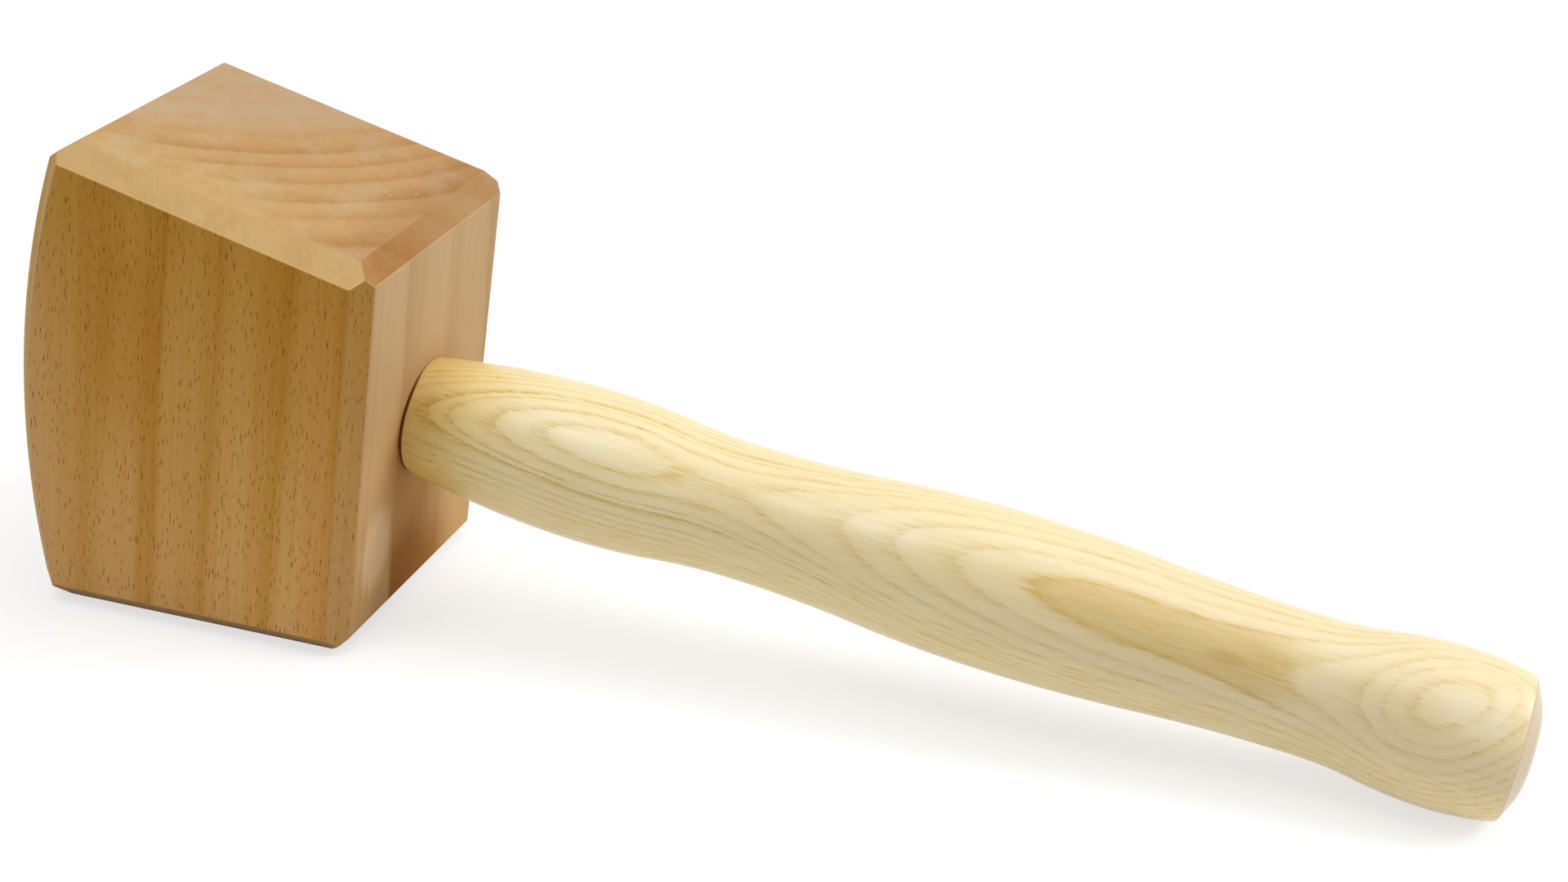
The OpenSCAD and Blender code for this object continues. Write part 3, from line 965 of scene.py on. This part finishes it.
def beech_finish():
    wood = Finish("beech")
    figure = beech_figure(wood)
    faces = beech_faces(wood)
    place, z = figure.place, figure.z
    # Painted floor bounce: the cheeks and upright chamfers lighter and yellower towards the bottom, darker
    # at the top
    bounce_tint = wood.mix(wood.math("MULTIPLY_ADD", z, *BEECH_CHEEK_BOUNCE_RISE), *BEECH_CHEEK_BOUNCE_TINTS)
    color = beech_side_color(wood, figure, faces)
    color = wood.mix(faces.cheek, color, beech_cheek_color(wood, figure, bounce_tint))
    color = wood.mix(faces.crown, color, wood.mix(figure.long_tone, *BEECH_CROWN))
    color = wood.mix(faces.slanted_up, color, beech_strike_color(wood, figure))
    color = beech_chamfers(wood, figure, faces, bounce_tint, color)
    fleck = beech_flecks(wood, figure, faces)
    color = wood.mix(wood.times(fleck, BEECH_FLECK_SHARE), color, BEECH_FLECK)

    around = wood.times(figure.angle, BEECH_RAY_REACH)
    ray = wood.noise(wood.join(around, figure.radius, z), *BEECH_RAY)
    fibre = wood.noise(place, *BEECH_FIBRE)
    grain = wood.plus(wood.times(ray, faces.slanted_up), fibre)
    color = wood.tint(color, wood.mix(wood.times(grain, BEECH_GRAIN_SHARE), *BEECH_GRAIN_TINTS))

    distance, chance = wood.cells(place, BEECH_DENT_CELLS)
    dent = wood.times(wood.between(distance, *BEECH_DENT_SPAN), wood.between(chance, *BEECH_DENT_CHANCE))
    dent = wood.times(dent, faces.slanted_up)
    rubbed = wood.between(wood.noise(place, *BEECH_WEAR), *BEECH_WEAR_SPAN)
    wear = wood.times(wood.attribute("edge_wear"), rubbed, wood.minus(1.0, faces.strike_edge))
    color = wood.mix(wood.times(wood.larger(wear, dent), BEECH_SCUFF_SHARE), color, BEECH_SCUFF)
    # Painted highlight on the rounded edge between the upper chamfers and the cheeks
    edge_highlight = wood.times(faces.cheek_edge, wood.between(z, *BEECH_EDGE_HIGHLIGHT_SPAN))
    color = wood.mix(edge_highlight, color, BEECH_EDGE_HIGHLIGHT)

    roughness = wood.spread(fibre, *BEECH_ROUGHNESS)
    roughness = wood.math("MULTIPLY_ADD", faces.strike, BEECH_STRIKE_ROUGHER, roughness)
    height = wood.minus(wood.times(grain, BEECH_GRAIN_HEIGHT), wood.plus(fleck, dent))
    return wood.shade(color, roughness, wood.bump(height, *BEECH_BUMP), BEECH_GLOSS)


# Ash: the rings are cut as nearly flat layers, which rise, tilt and bow along the handle
ASH_LAYER_TURN = math.radians(-46)
ASH_MIDDLE = 125
ASH_RISE = (0, 7.413, 2.685, 1.999, -2.868, -4.161)
ASH_TILT = (-0.030, -0.070, -0.035, -0.367, 0.037, 0.734)
ASH_BOW = (0.003, 0.015)
# Level at which each year's layer ends, and how strong its porous early wood is
ASH_LAYERS = (
    (2.2, 0.5), (4.1, 0.6), (5.8, 0.5), (7.2, 0.5), (9.3, 0.85), (10.0, 0.6), (11.45, 0.65), (12.65, 0.6),
    (14.6, 0.6), (16.35, 0.75), (17.85, 0.65), (19.05, 0.62), (20.3, 0.6), (21.65, 0.65), (22.45, 0.5),
    (23.2, 0.65), (24.3, 0.5))
ASH_LAYER_HEIGHT = 1.5
# How porous the wood is through one year
ASH_YEAR = ((0, 0.5), (0.08, 0.12), (0.2, 0.0), (0.45, 0.05), (0.66, 0.25), (0.82, 0.62), (0.94, 0.82))
# Drifts that bend the layers, and cells that shift them in bundles by a low and a high end
ASH_SWAY = ((0.03, 0.15, 0.15), 2, 0.5, -0.18, 0.18)
ASH_RAGGED = ((0.2, 3.0, 3.0), 3, 0.6, -0.15, 0.15)
ASH_BUNDLE_CELLS = (0.25, 3.4, 3.4)
ASH_BUNDLE_SHIFT = (-0.05, 0.05)
# Noise that breaks the lines of early wood, and the part of the handle along which they get fainter
ASH_BROKEN = ((0.09, 1.4, 1.4), 3, 0.6)
ASH_BROKEN_SPAN = (0.3, 0.58, 0.3, 1.25)
ASH_FAINT_SPAN = (60, 105, 1.0, 0.65)
# Streaks, which are livelier on the lower side
ASH_STREAK = ((0.03, 1.8, 1.8), 4, 0.65, -0.45, 0.5)
ASH_UNDER_SPAN = (5, -10)
ASH_UNDER_STREAK = 1.5
# Light and dark wood, and one brown layer with its first and last level and its end along the handle
ASH_PALE = (0.895, 0.758, 0.447)
ASH_TAN = (0.69, 0.465, 0.115)
ASH_BROWN_SHARE = 0.55
ASH_BROWN_START = (18.75, 19.05)
ASH_BROWN_STOP = (20.5, 20.3)
ASH_BROWN_END = (208, 192)
# Small stain
ASH_STAIN = (0.58, 0.34, 0.10)
ASH_STAIN_PATCH = ((188, -3.2), (6, 2))
ASH_STAIN_SHARE = 0.4
# Pores: dark ones and glints in cells, dense in the early wood, and everywhere on the lower side
ASH_PORE = (0.47, 0.29, 0.08)
ASH_PORE_CELLS = (0.22, 2.0, 2.0)
ASH_PORE_SPAN = (0.34, 0.12)
ASH_POROUS_SPAN = (0.1, 0.5, 0.16, 1.0)
ASH_UNDER_POROUS = 0.45
ASH_PORE_CHANCE = (0.4, 0.85)
ASH_PORE_SHARE = 0.7
ASH_GLINT_CHANCE = (0.2, 0.1)
ASH_GLINT_SHARE = 0.5
# Painted highlights: whiter patches on the swells and the end, where the lamps' reflections fall
ASH_HIGHLIGHT = (0.97, 0.89, 0.68)
ASH_HIGHLIGHT_PATCHES = (((40, 1.2), (22, 7)), ((112, 1.8), (14, 5)), ((238, 0.5), (10, 7)))
ASH_HIGHLIGHT_SHARE = 0.27
# End grain: light and dark wood, and the span of the way that it looks
ASH_END = ((0.68, 0.53, 0.32), (0.54, 0.40, 0.22))
ASH_END_SPAN = (0.45, 0.7)
# Tints: drifting ones; the neck, darker and warmer near the head, partly painted shade and bounce from the
# head and partly staining; the far half of the handle; and painted light on the lower side
ASH_CLOUD = ((0.015, 0.06, 0.06), 2, 0.5)
ASH_CLOUD_TINTS = ((0.95, 0.94, 0.90), (1.05, 1.06, 1.08))
ASH_TINTS = (((34, 0), (0.855, 0.77, 0.485)), ((110, 190), (0.95, 0.94, 0.98)))
ASH_UNDER_LIGHT_TINT = (1.07, 1.06, 0.99)
# Painted shade of the gap at the shoulder: a dark crescent that widens towards the near cheek
ASH_GAP_SHADE = (0.15, 0.035, 0.004)
ASH_GAP_SHADE_OPENING = (0, -11, 0.0, 0.8)
ASH_GAP_SHADE_BORDER = (0.2, -0.2)
ASH_GAP_SHADE_START = (-3, -2)
# Surface, with less bump on end grain
ASH_ROUGHNESS = (0.27, 0.41)
ASH_STREAK_HEIGHT = 0.3
ASH_EARLY_DEPTH = 0.4
ASH_END_HEIGHT_SPAN = (0.7, 0.45, 0.3, 1.0)
ASH_BUMP = (0.2, 0.03 * MM)
ASH_GLOSS = 0.4


def ash_level(wood, place):
    """Height in the stack of yearly layers."""
    x, side, level = wood.split(place)
    share = wood.math("MULTIPLY_ADD", x, 1 / ASH_MIDDLE, -1)
    tilt = wood.math(
        "MULTIPLY_ADD", side, wood.polynomial(share, ASH_BOW), wood.polynomial(share, ASH_TILT))
    rise = wood.math("MULTIPLY_ADD", side, tilt, wood.polynomial(share, ASH_RISE))
    bundle = wood.spread(wood.cells(place, ASH_BUNDLE_CELLS)[1], *ASH_BUNDLE_SHIFT)
    return wood.plus(level, rise, bundle, wood.drift(place, *ASH_SWAY), wood.drift(place, *ASH_RAGGED))


def ash_early_wood(wood, place, level):
    """Strength of the porous early wood, in broken lines that end each year."""
    below = wood.math("MINIMUM", wood.minus(level, ASH_LAYERS[0][0]), 0)
    years = wood.math("MULTIPLY_ADD", below, 1 / ASH_LAYER_HEIGHT, wood.years(level, ASH_LAYERS))
    year, strength = wood.rings(years, ASH_LAYERS)
    broken = wood.between(wood.noise(place, *ASH_BROKEN), *ASH_BROKEN_SPAN)
    faint = wood.between(wood.split(place)[0], *ASH_FAINT_SPAN)
    return wood.times(wood.ramp(year, ASH_YEAR), strength, broken, faint)


def ash_finish():
    wood = Finish("ash")
    straight = wood.along_handle()
    across, upwards = wood.split(straight)[1:]
    place = wood.turn(straight, rotation=(ASH_LAYER_TURN, 0, 0))
    x, side = wood.split(place)[:2]
    level = ash_level(wood, place)
    early = ash_early_wood(wood, place, level)
    under = wood.between(upwards, *ASH_UNDER_SPAN)
    streak = wood.drift(place, *ASH_STREAK)
    lively = wood.times(streak, wood.math("MULTIPLY_ADD", under, ASH_UNDER_STREAK, 1.0))
    brown = wood.times(
        wood.between(level, *ASH_BROWN_START), wood.between(level, *ASH_BROWN_STOP),
        wood.between(x, *ASH_BROWN_END), ASH_BROWN_SHARE)
    tone = wood.plus(early, lively, brown, clamp=True)
    color = wood.mix(tone, ASH_PALE, ASH_TAN)
    stain = wood.spot(x, side, *ASH_STAIN_PATCH, streak)
    color = wood.mix(wood.times(stain, ASH_STAIN_SHARE), color, ASH_STAIN)

    distance, chance = wood.cells(place, ASH_PORE_CELLS)
    porous = wood.larger(wood.between(early, *ASH_POROUS_SPAN), wood.times(under, ASH_UNDER_POROUS))
    hole = wood.times(wood.between(distance, *ASH_PORE_SPAN), porous)
    pore = wood.times(hole, wood.between(chance, *ASH_PORE_CHANCE))
    glint = wood.times(hole, wood.between(chance, *ASH_GLINT_CHANCE))
    color = wood.mix(wood.times(pore, ASH_PORE_SHARE), color, ASH_PORE)
    color = wood.mix(wood.times(glint, ASH_GLINT_SHARE), color, ASH_PALE)
    dense = wood.math("SUBTRACT", 1.0, early, clamp=True)
    # Painted highlights, on the pale wood between the lines of early wood
    for patch in ASH_HIGHLIGHT_PATCHES:
        painted_highlight = wood.times(wood.spot(x, side, *patch, streak), ASH_HIGHLIGHT_SHARE, dense)
        color = wood.mix(painted_highlight, color, ASH_HIGHLIGHT)

    facing = wood.math("ABSOLUTE", wood.facing((1, 0, 0)))
    color = wood.mix(wood.between(facing, *ASH_END_SPAN), color, wood.mix(early, *ASH_END))
    color = wood.tint(color, wood.mix(wood.noise(place, *ASH_CLOUD), *ASH_CLOUD_TINTS))
    # The neck's tint is partly painted shade and warm bounce from the head, partly staining
    for span, tint in ASH_TINTS:
        color = wood.tint(color, tint, wood.between(x, *span))
    # Painted light: the lower side lighter and yellower
    color = wood.tint(color, ASH_UNDER_LIGHT_TINT, under)
    # Painted shade: dark crescent at the shoulder, wider towards the near cheek
    shade_opening = wood.between(across, *ASH_GAP_SHADE_OPENING)
    gap_shade = wood.times(
        wood.between(wood.minus(x, shade_opening), *ASH_GAP_SHADE_BORDER), wood.between(x, *ASH_GAP_SHADE_START))
    color = wood.mix(gap_shade, color, ASH_GAP_SHADE)

    depth = wood.math("MULTIPLY_ADD", early, ASH_EARLY_DEPTH, pore)
    height = wood.minus(wood.times(streak, ASH_STREAK_HEIGHT), depth)
    height = wood.times(height, wood.between(facing, *ASH_END_HEIGHT_SPAN))
    return wood.shade(
        color, wood.spread(tone, *ASH_ROUGHNESS), wood.bump(height, *ASH_BUMP), ASH_GLOSS)


# Wedge: light and dark wood, years per millimetre across and upwards, their drift and course, and streaks
WEDGE_WOOD = ((0.46, 0.27, 0.12), (0.30, 0.16, 0.06))
WEDGE_YEARS = (0.35, 0.5)
WEDGE_SWAY = ((0.05, 0.2, 0.2), 2, 0.5, -0.8, 0.8)
WEDGE_YEAR = ((0, 0.0), (0.5, 0.35), (0.92, 1.0), (1.0, 0.3))
WEDGE_STREAK = ((0.03, 2.0, 2.0), 3, 0.5, -0.3, 0.3)
WEDGE_ROUGHNESS = (0.55, 0.65)
WEDGE_BUMP = (0.25, 0.04 * MM)
WEDGE_GLOSS = 0.4


def wedge_finish():
    wood = Finish("wedge_wood")
    place = wood.along_handle()
    across, upwards = wood.split(place)[1:]
    years = wood.math("MULTIPLY_ADD", across, WEDGE_YEARS[0], wood.times(upwards, WEDGE_YEARS[1]))
    years = wood.plus(years, wood.drift(place, *WEDGE_SWAY))
    streak = wood.drift(place, *WEDGE_STREAK)
    tone = wood.plus(wood.ramp(wood.math("FRACT", years), WEDGE_YEAR), streak, clamp=True)
    color = wood.mix(tone, *WEDGE_WOOD)
    return wood.shade(
        color, wood.spread(streak, *WEDGE_ROUGHNESS), wood.bump(tone, *WEDGE_BUMP), WEDGE_GLOSS)


make_camera()
make_room()
make_floor()
for softbox in SOFTBOXES:
    make_softbox(*softbox)

for make_piece, finish, node, slot in (
        (make_head, beech_finish, "head", "beech"),
        (make_handle, ash_finish, "handle", "ash"),
        (make_wedge, wedge_finish, "wedge", "wedge_wood")):
    piece = make_piece()
    piece.data.materials.clear()
    piece.data.materials.append(finish())
    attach(piece, BODY)
    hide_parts(node)

bpy.context.scene.view_settings.view_transform = "Standard"
